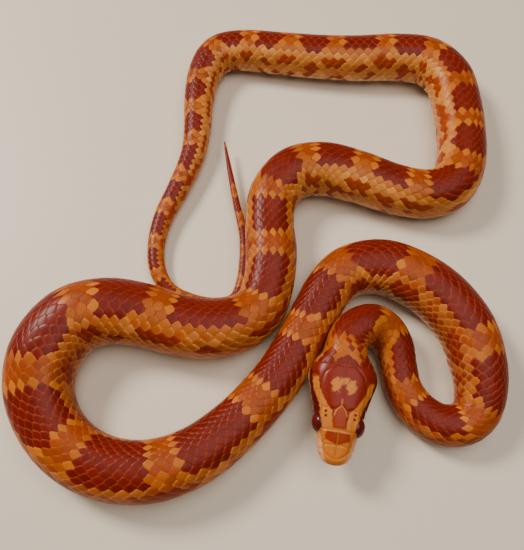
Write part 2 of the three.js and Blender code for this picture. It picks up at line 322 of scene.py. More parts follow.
# Seams between the crown's plates, over one half of the head: distance from the snout, from the midline
CROWN_SEAMS = [
    [(1.6, 0), (1.9, 1.5), (2.7, 2.6)],
    [(1.6, 0), (6.4, 0)],
    [(6.4, 0), (6.4, 2.2), (5.9, 3.7)],
    [(2.7, 2.6), (4.4, 3.8), (5.9, 3.7)],
    [(6.4, 0), (10.9, 0)],
    [(5.9, 3.7), (7.6, 5), (9.6, 5.3), (10.7, 4.7)],
    [(10.9, 0), (10.8, 2.4)],
    [(10.8, 2.4), (10.7, 4.7)],
    [(10.8, 2.4), (14.2, 2.2), (16.4, 1.7), (17.9, 0)],
    [(10.7, 4.7), (12, 5.6), (15, 6), (16.7, 5.5)],
    [(16.4, 1.7), (16.9, 3.6), (16.7, 5.5)],
    [(17.9, 0), (27.9, 0)],
    [(16.7, 5.5), (19, 6.8), (22.4, 7), (25.6, 5.8), (28.3, 2.9), (27.9, 0)],
]
# The last seams, round the long plates at the back of the crown, are fainter than the rest
FIRST_FAINT_SEAM = 11
# Seams on the side of the head: distance from the snout, height above the line of the mouth
LIP_TOP = [(0.4, 1.5), (3, 1.7), (7, 1.8), (10.4, 1.7), (13, 1.3), (16, 1.8), (20, 2.4), (25, 2.6)]
SIDE_SEAMS = [
    LIP_TOP,
    [(2.4, 0), (2.4, 1.6)],
    [(4.8, 0), (4.8, 1.8)],
    [(7.4, 0), (7.4, 1.8)],
    [(10, 0), (10, 1.7)],
    [(12.6, 0), (12.6, 1.3)],
    [(15.3, 0), (15.3, 1.7)],
    [(18.6, 0), (18.6, 2.2)],
    [(22.3, 0), (22.3, 2.5)],
    [(4.4, 1.8), (4.6, 4.4)],
    [(8.2, 1.8), (8.4, 5.2)],
    [(15.7, 3.4), (17.6, 3.6)],
    [(17.6, 2), (17.5, 5.6)],
    [(17.6, 4.2), (21.4, 4.7)],
    [(21.4, 2.5), (21.4, 6.6)],
    [(21.4, 4.8), (25.4, 5)],
    [(25.4, 2.6), (25.4, 6.4)],
]
CHIN_SEAMS = [
    [(1, -1.5), (6, -1.7), (12, -1.8), (19, -1.9), (25, -1.7)],
    [(2.2, 0), (2.2, -1.5)],
    [(4.4, 0), (4.4, -1.7)],
    [(6.8, 0), (6.8, -1.7)],
    [(9.4, 0), (9.4, -1.8)],
    [(12.2, 0), (12.2, -1.8)],
    [(15.2, 0), (15.2, -1.8)],
    [(18.6, 0), (18.6, -1.9)],
    [(22.2, 0), (22.2, -1.8)],
]


def feature_place(u):
    # the eyes and the plates between them sit a little forward of their even spacing
    return u + 1.3 * smooth(u, 2, 7) * (1 - smooth(u, 18, 26))


def head_sizes(u):
    # smooth through the stations, as the bones under the skin are
    rows = HEAD_STATIONS
    slopes = np.gradient(rows[:, 1:], rows[:, 0], axis=0)
    i = np.clip(np.searchsorted(rows[:, 0], u, side="right") - 1, 0, len(rows) - 2)
    span = rows[i + 1, 0] - rows[i, 0]
    t = np.clip((u - rows[i, 0]) / span, 0, 1)[..., None]
    a = 2 * t**3 - 3 * t**2 + 1
    b = t**3 - 2 * t**2 + t
    size = a * rows[i, 1:] + b * slopes[i] * span[..., None] + (1 - a) * rows[i + 1, 1:]
    return size + (t**3 - t**2) * slopes[i + 1] * span[..., None]


def seam_distance(at, wide, above, on_crown, off_side, faint):
    # how far each place is from the nearest seam, in plan on the crown and upright on the sides
    plan = np.stack([at, wide], axis=-1)
    flat = np.stack([at, above], axis=-1)
    seam = np.full(at.shape, 9.0)
    for number, line in enumerate(CROWN_SEAMS):
        extra = faint if number >= FIRST_FAINT_SEAM else 0
        seam = np.minimum(seam, line_distance(plan, line) + 3 * (1 - on_crown) + extra)
    off = off_side + np.where(at < 1.2, 2.0, 0)
    for line in SIDE_SEAMS + CHIN_SEAMS:
        seam = np.minimum(seam, line_distance(flat, line) + off)
    return seam


def head_form(u, angle, fine):
    size = head_sizes(np.maximum(u, 2.6))
    tip = np.sqrt(np.clip(1 - (1 - np.clip(u / 3.2, 0, 1)) ** 2.1, 0, 1))
    half, crown, chin = size[..., 0] * tip, size[..., 1] * tip, size[..., 2] * tip
    sin, cos = np.sin(angle), np.cos(angle)
    v = power(sin, HEAD_SQUARENESS) * half
    z = power(cos, HEAD_SQUARENESS) * np.where(cos > 0, crown, chin)
    mouth = np.interp(u, MOUTH_LINE[:, 0], MOUTH_LINE[:, 1])
    side = smooth(np.abs(sin), 0.5, 0.8)
    out = 0.3 * np.exp(-(((z - mouth) / 1.2) ** 2)) * (1 - smooth(u, 24, 31)) * smooth(u, 0, 4)
    if not fine:
        return np.stack([u, v + np.sign(v) * out, z], axis=-1)
    from_mouth = z - mouth
    at = feature_place(u)
    # hollow in front of the eye, swelling of the jaw muscles, brow over the eye
    out = out - 0.35 * np.exp(-(((at - 8.4) / 2.6) ** 2) - ((z - 1.6) / 1.5) ** 2) * side
    out = out + 0.3 * np.exp(-(((u - 25) / 3.5) ** 2) - ((z - 0.5) / 2.5) ** 2) * side
    brow = np.exp(-(((at - 13.4) / 3.0) ** 2) - ((np.abs(v) - 5.4) / 0.9) ** 2) * smooth(cos, 0.1, 0.4)
    on_crown = smooth(cos, 0.28, 0.5)
    seam = seam_distance(at, np.abs(v), from_mouth, on_crown, 3 * (1 - side), 0.16)
    eye_gap = np.hypot((u - EYE_AT[0]) / EYE_STRETCH, z - EYE_AT[2])
    ring = np.exp(-(((eye_gap - SOCKET_RIM) / 0.32) ** 2)) * side
    out = out + 0.2 * ring - 0.7 * np.exp(-((eye_gap / 2.3) ** 4)) * side
    groove = 0.17 * np.exp(-((seam / 0.17) ** 2))
    pillow = 0.1 * smooth(seam, 0.1, 0.9)
    slit = 0.42 * np.exp(-((from_mouth / 0.16) ** 2))
    slit = slit * (1 - smooth(u, 24, 26)) * smooth(np.abs(sin), 0.3, 0.5)
    nostril = np.hypot(u - NOSTRIL_AT[0], z - NOSTRIL_AT[2])
    pit = 0.8 * np.exp(-((nostril / 0.42) ** 2)) * side
    chin_line = np.where((cos < -0.3) & (u > 2) & (u < 20), np.exp(-((v / 0.18) ** 2)) * 0.25, 0)
    fade = 1 - smooth(u, 28.4, 31)
    out = out + (pillow - groove - pit - slit - chin_line) * fade
    length = np.hypot(sin, cos * 1.1) + 1e-6
    v = v + sin / length * out * smooth(u, 0, 0.8)
    z = z + cos / length * (out + 0.35 * brow) * smooth(u, 0, 0.8) + 0.15 * brow
    return np.stack([u, v, z], axis=-1)


def form(s, angle, fine=False):
    s, angle = np.broadcast_arrays(np.asarray(s, float), np.asarray(angle, float))
    body = body_form(s, angle)
    near = s < HEAD_FADE[1]
    if near.any():
        head = head_frame(head_form(s[near], angle[near], fine))
        share = smooth(s[near], *HEAD_FADE)[..., None]
        body[near] = head * (1 - share) + body[near] * share
    return body


def outward(s, angle):
    ds = form(s + 0.15, angle) - form(s - 0.15, angle)
    da = form(s, angle + 0.04) - form(s, angle - 0.04)
    n = np.cross(ds, da)
    return n / (np.linalg.norm(n, axis=-1)[..., None] + 1e-12)


def to_metres(points):
    moved = np.array(points, float)
    moved[..., :2] += ROUTE_SHIFT
    return moved / 1000


# Markings: where each light band crosses the back, as distances from the snout
LIGHT_BANDS = np.array(
    [53, 73, 97, 120, 151, 176, 200, 227, 260, 290, 316, 342, 366, 398, 422, 443, 460]
    + [480, 500, 522, 540, 557, 575, 593, 612, 630, 646, 660, 674, 688, 702, 717, 731]
    + [745, 757, 769, 781, 793, 805, 817, 829]
)
NECK_BAND_GAP = 20.0
SADDLE_RED = np.array([0.135, 0.0042, 0.0002])
SADDLE_RIM = np.array([0.33, 0.065, 0.012])
BAND_ORANGE = np.array([0.26, 0.04, 0.0007])
BAND_YELLOW = np.array([0.46, 0.125, 0.005])
FLANK_ORANGE = np.array([0.33, 0.052, 0.0015])
FLANK_PALE = np.array([0.62, 0.24, 0.045])
BELLY_CREAM = np.array([0.78, 0.60, 0.38])
BELLY_RED = np.array([0.19, 0.012, 0.0008])
BELLY_EDGE = BELLY_CREAM * np.array([1, 0.8, 0.5])
BLOTCH_RED = np.array([0.19, 0.011, 0.0006])
HIND_BLOTCH_RED = np.array([0.27, 0.032, 0.002])


def mix(a, b, share):
    return a * (1 - share[..., None]) + b * share[..., None]


def wobble(s, turn):
    # slow unevenness, so that no two bands are alike
    return (
        np.sin(s * 0.29 + 1.2 * np.sin(turn * 1.7) + 0.6)
        + np.sin(s * 0.173 - turn * 1.9 + 1.9)
        + 0.5 * np.sin(s * 0.61 + turn * 3.3)
    ) / 2.5


def speckle(s, turn):
    # quick unevenness from scale to scale, between 0 and 1
    value = np.sin(s * 12.9898 + turn * 78.233) * 43758.5453
    return value - np.floor(value)


def band_place(s):
    # the distance to the nearest light band, and the spacing of the bands there
    i = np.clip(np.searchsorted(LIGHT_BANDS, s), 1, len(LIGHT_BANDS) - 1)
    before, after = LIGHT_BANDS[i - 1], LIGHT_BANDS[i]
    fore = s < LIGHT_BANDS[0]
    gap = np.where(fore, NECK_BAND_GAP, after - before).astype(float)
    nearest = np.minimum(np.abs(s - before), np.abs(after - s))
    return np.where(fore, np.abs(LIGHT_BANDS[0] - s), nearest), gap


def markings(s, turn):
    # turn is the angle from the middle of the back; gives the colours of a scale and of its rim
    turn = (turn + np.pi) % (2 * np.pi) - np.pi
    wide = np.degrees(np.abs(turn))
    grain = speckle(s, turn)
    from_band, gap = band_place(s)
    late = smooth(s, 400, 470)
    band_half = np.clip(gap * 0.185, 1.5, 4.8) * (1 + 0.1 * wobble(s, turn))
    band_half = band_half + 0.02 * np.maximum(wide - 20, 0)
    band_half = band_half + 0.5 * (grain - 0.5)
    # saddles end about halfway down the flanks, with rounded corners
    corner = np.clip(1 - from_band / (gap * 0.5), 0, 1)
    rolled = smooth(s, 135, 160) * (1 - smooth(s, 245, 275))
    narrow = smooth(s, 290, 400)
    saddle_edge = 52 + 6 * rolled - 8 * narrow + 4 * wobble(s * 0.7, turn) - 22 * corner**3
    in_saddle = (from_band > band_half) & (wide < saddle_edge)
    edge = np.minimum(np.abs(from_band - band_half) / 2.4, 1.0)
    base = mix(BAND_YELLOW, BAND_ORANGE, smooth(edge, 0.25, 0.8))
    rim = mix(BAND_YELLOW, BAND_ORANGE * 1.7, smooth(edge, 0.3, 1.0))
    # the flanks: orange scales with pale edges, and paler ones among them, lighter towards the tail
    side_edge = smooth(-(wide - saddle_edge), -11, -5) * (wide > saddle_edge)
    low = smooth(wide + 6 * narrow, 44, 60)
    pale_share = smooth(grain, 0.6, 0.9) * 0.4 + 0.55 * late + 0.15 * wobble(s * 1.7, turn * 2)
    ground = mix(FLANK_ORANGE, FLANK_PALE, np.clip(pale_share, 0, 1))
    on_tail = smooth(s, 690, 770)
    ground = mix(ground, BAND_ORANGE, on_tail * 0.8)
    base = mix(base, ground, low)
    rim = mix(rim, FLANK_PALE, low * (1 - 0.6 * on_tail))
    base = mix(base, BAND_YELLOW, side_edge * 0.4)
    # one blotch on the flank under each light band, smaller ones between, and checks lower down
    blotch = np.hypot(from_band / np.clip(gap * 0.26, 1.5, 6.6), (wide - 79 + 9 * narrow) / 13)
    in_blotch = blotch < 1 + 0.25 * wobble(s * 1.3, turn) + 0.3 * (grain - 0.5)
    from_middle = (gap * 0.5 - from_band) / np.clip(gap * 0.12, 1.0, 2.6)
    small = np.hypot(from_middle, (wide - 92 + 9 * narrow) / 8)
    in_small = (small < 1 + 0.3 * (grain - 0.5)) | ((late > 0.5) & (grain > 0.86) & (wide > 62))
    check = np.sin(2 * np.pi * s / np.clip(gap * 0.5, 3, 12) + 1.0) + 0.8 * (grain - 0.5)
    in_check = (wide > 104) & (check > 0.5)
    pale = smooth(wide, 98 - 13 * rolled, 120 - 15 * rolled) * (1 - 0.6 * on_tail)
    base = mix(base, BELLY_EDGE, pale * 0.7)
    rim = mix(rim, BELLY_CREAM, pale * 0.8)
    spot = (in_blotch | in_small)[..., None]
    spot_red = mix(BLOTCH_RED, HIND_BLOTCH_RED, late)
    base = np.where(spot, spot_red, np.where(in_check[..., None], BELLY_RED * 1.3, base))
    rim = np.where(spot, spot_red * 0.7 + SADDLE_RIM * 0.5, rim)
    # the neck and the fore body are darker all round
    dusk = (1 - smooth(s, 300, 360)) * (1 - 0.75 * rolled)
    dusk = dusk * smooth(wide, 50, 64) * (1 - smooth(wide, 96, 116))
    base = mix(base, SADDLE_RED * 1.2, dusk * (0.35 + 0.45 * (grain < 0.55)))
    rim = mix(rim, SADDLE_RIM, dusk * 0.6)
    # the nape carries a light band with a forward point on each side and a few dark dots
    nape_front = 31.5 - 4.2 * np.exp(-(((wide - 17) / 9) ** 2)) + 0.02 * np.maximum(wide - 40, 0)
    nape_back = 38.0 + wobble(s, turn) - 0.03 * wide
    on_nape = (s > nape_front) & (s < nape_back)
    nape_light = mix(BAND_ORANGE, BAND_YELLOW, 0.35 + 0.3 * grain)
    nape_color = np.where(grain[..., None] > 0.8, BELLY_RED, nape_light)
    base = np.where(on_nape[..., None], nape_color, base)
    rim = np.where(on_nape[..., None], BAND_YELLOW, rim)
    saddle = (in_saddle & ~on_nape)[..., None]
    base = np.where(saddle, SADDLE_RED, base)
    rim = np.where(saddle, SADDLE_RIM, rim)
    # the tail is a little darker towards its tip
    dusk = smooth(s, 775, 800) * (1 - smooth(wide, 90, 120)) * (1 - smooth(s, 838, 846))
    base = mix(base, SADDLE_RED * 1.5, dusk * 0.2)
    rim = mix(rim, SADDLE_RIM, dusk * 0.3)
    return base, rim


CROWN_RED = np.array([0.18, 0.0085, 0.0001])
CROWN_YELLOW = np.array([0.5, 0.15, 0.016])
SNOUT_ORANGE = np.array([0.52, 0.14, 0.012])
CHEEK_RED = np.array([0.09, 0.003, 0.0004])
SHIELD_RED = np.array([0.25, 0.024, 0.0008])
LIP_PALE = np.array([0.70, 0.34, 0.14])
# Distances from the snout, then the pale stripe's middle, its half breadth and the shield's half breadth
STRIPE_MIDDLE = ([10.6, 13, 16, 18, 22, 27, 31], [3.9, 4.0, 4.3, 5.5, 7.8, 9.2, 9.5])
STRIPE_HALF = ([10, 13, 16, 18, 20, 27, 31], [2.2, 2.0, 1.7, 1.1, 0.95, 0.8, 0.4])
SHIELD_HALF = ([11, 11.6, 14.4, 16.4, 17.8], [1.7, 2.0, 1.95, 1.4, 0])
BROW_DOTS = ((15.7, 4.35), (14.4, 4.2))


def head_markings(from_snout, v, z, angle):
    u = feature_place(from_snout)
    wide = np.abs(v)
    cos = np.cos(angle)
    color = np.broadcast_to(CROWN_RED, u.shape + (3,)).copy()

    def paint(new, share):
        color[:] = mix(color, new, np.clip(share, 0, 1))

    jitter = 0.18 * np.sin(u * 3.1 + v * 2.3) + 0.12 * np.sin(u * 7.3 - v * 5.1)
    # cheeks, then the pale stripe that runs back from each brow
    stripe = np.interp(u, *STRIPE_MIDDLE)
    paint(CHEEK_RED, smooth(wide - stripe, 0.4, 0.9) * smooth(u, 13, 16))
    stripe_half = np.interp(u, *STRIPE_HALF)
    in_stripe = 1 - smooth(np.abs(wide - stripe) + jitter * 0.5, stripe_half - 0.2, stripe_half + 0.15)
    stripe_ends = smooth(u, 10.4, 10.9) * (1 - smooth(u + jitter, 24, 25))
    paint(CROWN_YELLOW, in_stripe * stripe_ends * smooth(cos, -0.15, 0.1))
    # frontal shield with its pale seam behind
    shield = np.interp(u, *SHIELD_HALF)
    paint(SHIELD_RED, (1 - smooth(wide, shield - 0.15, shield + 0.1)) * (u > 11) * (u < 18))
    shield_edge = np.abs(wide - shield) + 9 * ((u < 14.8) | (u > 18.2))
    paint(CROWN_YELLOW * 1.05, 1 - smooth(shield_edge, 0.12, 0.32))
    behind_shield = smooth(u, 17.6, 17.9) * (1 - smooth(u, 19.4, 20))
    paint(CROWN_YELLOW * 1.05, (1 - smooth(wide, 0.15, 0.4)) * behind_shield)
    # bar across the front of the eyes, framed in yellow
    before_shield = smooth(u, 10.0, 10.3) * (1 - smooth(u, 11.1, 11.5))
    paint(CROWN_YELLOW * 0.95, before_shield * smooth(cos, 0.2, 0.5))
    paint(SNOUT_ORANGE, (1 - smooth(u - 0.35 * wide + jitter, 6.5, 7.0)))
    bar = smooth(u - 0.42 * wide, 6.3, 6.8) * (1 - smooth(u + 0.1 * wide, 9.9, 10.3))
    beside_bar = smooth(wide + jitter, 3.2, 3.6) * (1 - smooth(u, 10, 10.6)) * smooth(u, 6, 7)
    paint(SNOUT_ORANGE * 0.85, beside_bar)
    paint(SHIELD_RED, bar * (1 - smooth(wide, 3.4, 3.8)) * smooth(cos, 0.2, 0.4))
    edge_of_snout = smooth(wide / np.maximum(head_sizes(from_snout)[..., 0], 1), 0.74, 0.86)
    paint(LIP_PALE, edge_of_snout * (1 - smooth(from_snout, 7, 9)) * 0.8)
    paint(SNOUT_ORANGE * 0.9, (1 - smooth(wide, 0.1, 0.28)) * (u > 6) * (u < 10.4))
    # two spots that meet behind the middle of the crown
    spot = np.minimum(
        np.hypot((u - 22.8) / 1.75, (wide - 2.2) / 1.5),
        np.hypot((u - 23.8) / 1.0, wide / 1.6),
    )
    paint(CROWN_YELLOW, 1 - smooth(spot + jitter, 0.85, 1.05))
    # dots on the brows
    for at in BROW_DOTS:
        paint(SADDLE_RED, 1 - smooth(np.hypot(u - at[0], wide - at[1]), 0.33, 0.5))
    # fine unevenness in the pale parts
    uneven = np.sin(u * 5.1 + v * 3.7) * np.sin(v * 6.3 - u * 2.9) + 0.6 * np.sin(u * 9.1 - v * 7.7)
    color *= (1 + 0.1 * uneven * smooth(color[..., 1], 0.05, 0.12))[..., None]
    # lips and chin
    mouth = np.interp(from_snout, MOUTH_LINE[:, 0], MOUTH_LINE[:, 1])
    above = z - mouth
    lips = (1 - smooth(above, 1.2, 1.9)) * (1 - smooth(cos, 0.35, 0.6))
    paint(LIP_PALE, lips * (0.85 - 0.5 * smooth(np.sin(u * 2.42 + 1.0), 0.5, 0.95)))
    paint(BELLY_CREAM, (1 - smooth(above, -1.6, -0.4)) * (1 - smooth(u, 27, 33)))
    # seams are darker, and painted shade darkens the crease round each eye, the slit of the mouth and
    # the nostrils
    on_crown = smooth(cos, 0.28, 0.5)
    seam = seam_distance(u, wide, above, on_crown, 3 * on_crown, 0)
    color *= (1 - 0.2 * np.exp(-((seam / 0.16) ** 2)))[..., None]
    eye_gap = np.hypot((from_snout - EYE_AT[0]) / EYE_STRETCH, z - EYE_AT[2])
    # painted shade in a ring where the eyeball meets the head
    painted_socket_shade = np.exp(-(((eye_gap - SOCKET_SHADE) / 0.2) ** 2)) * (wide > 4)
    color *= (1 - 0.45 * painted_socket_shade)[..., None]
    # painted shade in the slit of the mouth
    slit = np.exp(-((above / 0.14) ** 2)) * (1 - smooth(u, 24.5, 26))
    slit = slit * (1 - smooth(np.abs(cos), 0.8, 0.95))
    color *= (1 - 0.8 * slit)[..., None]
    # painted shade in the nostrils
    nostril = np.hypot(from_snout - NOSTRIL_AT[0], z - NOSTRIL_AT[2]) + 3 * (wide < 2)
    color *= (1 - 0.85 * np.exp(-((nostril / 0.45) ** 2)))[..., None]
    return color


def tube_sheet(name, s_values, around):
    # a flat grid of the right count, rolled round the route and closed along its long edge
    bpy.ops.object.select_all(action="DESELECT")
    bpy.ops.mesh.primitive_grid_add(x_subdivisions=len(s_values) - 1, y_subdivisions=around, size=2)
    sheet = bpy.context.object
    sheet.name = name
    mesh = sheet.data
    flat = np.empty(len(mesh.vertices) * 3)
    mesh.vertices.foreach_get("co", flat)
    flat = flat.reshape(-1, 3)
    row = np.rint((flat[:, 0] + 1) / 2 * (len(s_values) - 1)).astype(int)
    angle = (flat[:, 1] + 1) * np.pi
    s = np.asarray(s_values)[row]
    return sheet, s, angle


def color_by(mesh, colors):
    layer = mesh.color_attributes.new("marks", "FLOAT_COLOR", "POINT")
    full = np.ones((len(mesh.vertices), 4), dtype=np.float32)
    full[:, :3] = np.clip(colors, 0, 1)
    layer.data.foreach_set("color", full.ravel())


def head_local(points):
    # back from a place over the floor to distance from the snout, side and height
    d = points[..., :2] - nape_at
    u = d @ nape_way + HEAD_LENGTH
    return u, d @ nape_side, points[..., 2] - nape_height


# rings crowd on the head and spread out down the body, and the head has more points round it
HEAD_AROUND, BODY_AROUND = 264, 80
HEAD_RINGS_END, BODY_RINGS_START = 34.0, 34.2
JOIN_REACH = 0.02
snout_rings = 3 * (1 - np.cos(np.linspace(0.02, np.pi / 2, 24)))
head_rings = np.concatenate([snout_rings, np.linspace(3.17, HEAD_RINGS_END, 180)])
trunk_rings = np.linspace(BODY_RINGS_START, 690, 410)
body_rings = np.concatenate([trunk_rings, np.linspace(691.8, TOTAL_LENGTH, 90)])
parts = []
for name, rings, around in (("skin", head_rings, HEAD_AROUND), ("skin_body", body_rings, BODY_AROUND)):
    sheet, s, angle = tube_sheet(name, rings, around)
    # behind the crown's plates the hide lies a little under the scales
    sunk = SKIN_DEPTH * smooth(s, 28.0, 29.2) * smooth(TOTAL_LENGTH - s, 0, 6)
    points = form(s, angle, fine=True) - outward(s, angle) * sunk[:, None]
    points[:, 2] = np.maximum(points[:, 2], SKIN_FLOOR_GAP)
    rim = markings(s, upright(s, (angle + np.pi) % (2 * np.pi) - np.pi))[1]
    u, v, z = head_local(points)
    on_head = head_markings(u, v, z, angle)
    colors = mix(on_head, rim * 0.8, smooth(s, 28.6, 29.4))
    sheet.data.vertices.foreach_set("co", to_metres(points).ravel())
    color_by(sheet.data, colors)
    parts.append(sheet)
bpy.ops.object.select_all(action="DESELECT")
for sheet in parts:
    sheet.select_set(True)
bpy.context.view_layer.objects.active = parts[0]
bpy.ops.object.join()
skin = bpy.context.object
bpy.ops.object.mode_set(mode="EDIT")
bpy.ops.mesh.select_all(action="SELECT")
bpy.ops.mesh.remove_doubles(threshold=2e-6)
bpy.ops.mesh.select_all(action="DESELECT")
bpy.ops.mesh.select_mode(type="EDGE")
bpy.ops.mesh.select_non_manifold(extend=False)
bpy.ops.object.mode_set(mode="OBJECT")
# the two open rings behind the head are bridged, and the ends at the snout and the tail are filled
join_at = (HEAD_RINGS_END + BODY_RINGS_START) / 2
middle = to_metres(form(np.array([join_at]), np.array([0.0])))[0]
for edge in skin.data.edges:
    if edge.select:
        co = skin.data.vertices[edge.vertices[0]].co
        if math.dist(co, middle) > JOIN_REACH:
            edge.select = False
bpy.ops.object.mode_set(mode="EDIT")
bpy.ops.mesh.bridge_edge_loops()
bpy.ops.mesh.select_all(action="DESELECT")
bpy.ops.mesh.select_non_manifold(extend=False)
bpy.ops.mesh.fill()
bpy.ops.mesh.select_all(action="SELECT")
bpy.ops.mesh.normals_make_consistent(inside=False)
bpy.ops.object.mode_set(mode="OBJECT")
bpy.ops.object.shade_smooth()


MOTTLE_SCALE = 900
MOTTLE_DARK, MOTTLE_LIGHT = 0.78, 1.16
GRAIN_DEPTH = 0.00008


def hide_finish(name, roughness, bump, coat):
    # the markings' colours, mottled finely, under a faint natural gloss
    paint = bpy.data.materials.new(name)
    paint.use_nodes = True
    nodes, links = paint.node_tree.nodes, paint.node_tree.links
    shader = nodes["Principled BSDF"]
    shader.inputs["Roughness"].default_value = roughness
    shader.inputs["Coat Weight"].default_value = coat
    shader.inputs["Coat Roughness"].default_value = 0.22
    shader.inputs["Specular IOR Level"].default_value = 0.13
    marks = nodes.new("ShaderNodeAttribute")
    marks.attribute_name = "marks"
    place = nodes.new("ShaderNodeTexCoord")
    mottle = nodes.new("ShaderNodeTexNoise")
    mottle.inputs["Scale"].default_value = MOTTLE_SCALE
    mottle.inputs["Detail"].default_value = 3
    links.new(place.outputs["Object"], mottle.inputs["Vector"])
    shade = nodes.new("ShaderNodeMapRange")
    shade.inputs["To Min"].default_value = MOTTLE_DARK
    shade.inputs["To Max"].default_value = MOTTLE_LIGHT
    links.new(mottle.outputs["Fac"], shade.inputs["Value"])
    tint = nodes.new("ShaderNodeVectorMath")
    tint.operation = "SCALE"
    links.new(marks.outputs["Color"], tint.inputs[0])
    links.new(shade.outputs["Result"], tint.inputs["Scale"])
    links.new(tint.outputs["Vector"], shader.inputs["Base Color"])
    grain = nodes.new("ShaderNodeBump")
    grain.inputs["Strength"].default_value = bump
    grain.inputs["Distance"].default_value = GRAIN_DEPTH
    links.new(mottle.outputs["Fac"], grain.inputs["Height"])
    links.new(grain.outputs["Normal"], shader.inputs["Normal"])
    return paint


flesh_nodes = ["head", "lower_jaw", "neck_1", "neck_2", "tail_1", "tail_2", "tail_tip"]
flesh_nodes += ["body_%02d" % i for i in range(1, 14)]
skin.data.materials.clear()
skin.data.materials.append(hide_finish("skin_hide", roughness=0.33, bump=0.25, coat=0.08))
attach(skin, "root")
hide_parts(*flesh_nodes)

# The scales of the back and flanks, in slanting rows like roof tiles.
# Thin horny plates grown on the hide, each a rounded lozenge that overlaps the roots of those behind.
# Their middles carry the dark of the markings and their free edges are paler.
BACK_EDGE = 127.0
# Where each stretch of the body starts, and how many rows of scales go round its back
ROW_ZONES = [
    (28.9, 25),
    (120, 27),
    (560, 23),
    (640, 19),
    (684, 15),
    (715, 13),
    (745, 11),
    (775, 9),
    (805, 7),
]
BARE_TIP = 2.5
SCALE_LENGTH = (1.25, 0.235)
NECK_SHORTER = 0.75
MIDBODY_PITCH = 3.6
SCALE_PIECES = 5
UNWRAP_STRIPS = 12
STRIP_LENGTH = 71.0
UNWRAP_REACH = 0.0015


def pitch_at(s):
    # scales are longer where the body is thicker, and shorter on the neck
    shorter = NECK_SHORTER * (1 - smooth(s, 24, 60))
    return SCALE_LENGTH[0] + SCALE_LENGTH[1] * half_width(s) - shorter


fine_s = np.linspace(24, TOTAL_LENGTH, 6000)
count_along = np.concatenate([[0], np.cumsum(np.diff(fine_s) / pitch_at(fine_s[1:]))])
arc_angles = np.radians(np.linspace(0, 180, 721))
arc_x = power(np.sin(arc_angles), SQUARENESS)
arc_z = HEIGHT_SHARE * np.maximum(power(np.cos(arc_angles), SQUARENESS), -BELLY_SHARE)
arc_run = np.concatenate([[0], np.cumsum(np.hypot(np.diff(arc_x), np.diff(arc_z)))])
back_run = np.interp(np.radians(BACK_EDGE), arc_angles, arc_run)


def turn_from(share):
    # share of the way from the middle of the back to the edge of the belly, as an angle
    return np.sign(share) * np.interp(np.abs(share) * back_run, arc_run, arc_angles)


def unwrap(s, turn):
    # the hide slit along the belly and laid out in twelve strips, head first
    strip = np.clip(np.floor(s / STRIP_LENGTH), 0, UNWRAP_STRIPS - 1)
    u = (s - strip * STRIP_LENGTH) / STRIP_LENGTH * 0.97 + 0.015
    v = (strip + 0.04 + 0.92 * (turn / (2 * np.pi) + 0.5)) / UNWRAP_STRIPS
    return np.stack([u, v], axis=-1)


def joined(name, verts, faces_per, corners, colors, uvs):
    # many copies of one small closed form, already in place, as one mesh
    count, per = verts.shape[0], verts.shape[1]
    mesh = bpy.data.meshes.new(name)
    offsets = np.arange(count)[:, None] * per
    loops = (np.concatenate(corners)[None, :] + offsets).ravel()
    sizes = np.tile(faces_per, count)
    mesh.vertices.add(count * per)
    mesh.vertices.foreach_set("co", to_metres(verts).ravel())
    mesh.loops.add(len(loops))
    mesh.loops.foreach_set("vertex_index", loops.astype(np.int32))
    mesh.polygons.add(len(sizes))
    starts = np.concatenate([[0], np.cumsum(sizes)[:-1]])
    mesh.polygons.foreach_set("loop_start", starts.astype(np.int32))
    mesh.update(calc_edges=True)
    color_by(mesh, colors.reshape(-1, 3))
    layer = mesh.uv_layers.new(name="OFBake")
    layer.data.foreach_set("uv", uvs.reshape(-1, 2)[loops].astype(np.float32).ravel())
    mesh.validate()
    piece = bpy.data.objects.new(name, mesh)
    bpy.context.scene.collection.objects.link(piece)
    for polygon in mesh.polygons:
        polygon.use_smooth = True
    return piece


def form_of(piece):
    # the points and faces of a small form, which is then cleared away
    mesh = piece.data
    points = np.array([v.co[:] for v in mesh.vertices])
    corners = [np.array(p.vertices[:]) for p in mesh.polygons]
    bpy.data.objects.remove(piece)
    return points, [len(c) for c in corners], corners


bpy.ops.object.select_all(action="DESELECT")
bpy.ops.mesh.primitive_uv_sphere_add(segments=10, ring_count=5, radius=1)
lozenge, lozenge_sizes, lozenge_corners = form_of(bpy.context.object)
level = np.rint(np.degrees(np.arccos(np.clip(lozenge[:, 2], -1, 1))) / 36).astype(int)
round_at = np.arctan2(lozenge[:, 1], lozenge[:, 0])
reach = np.array([0, 0.6, 0.91, 1.0, 0.7, 0])[level]
tile_along = power(np.cos(round_at), 1.5) * reach * np.where(np.cos(round_at) > 0, 0.76, 0.62)
tile_across = power(np.sin(round_at), 1.66) * reach * 0.97
tile_height = np.array([0.05, 0.045, 0.02, -0.05, -0.3, -0.3])[level]
tile_height = tile_height + np.where(level < 4, 0.13 * tile_along, 0)
tile_rim = np.array([0, 0, 0.2, 1.0, 1.0, 1.0])[level]
flank_rim = np.array([0, 0.25, 0.75, 1.0, 1.0, 1.0])[level]

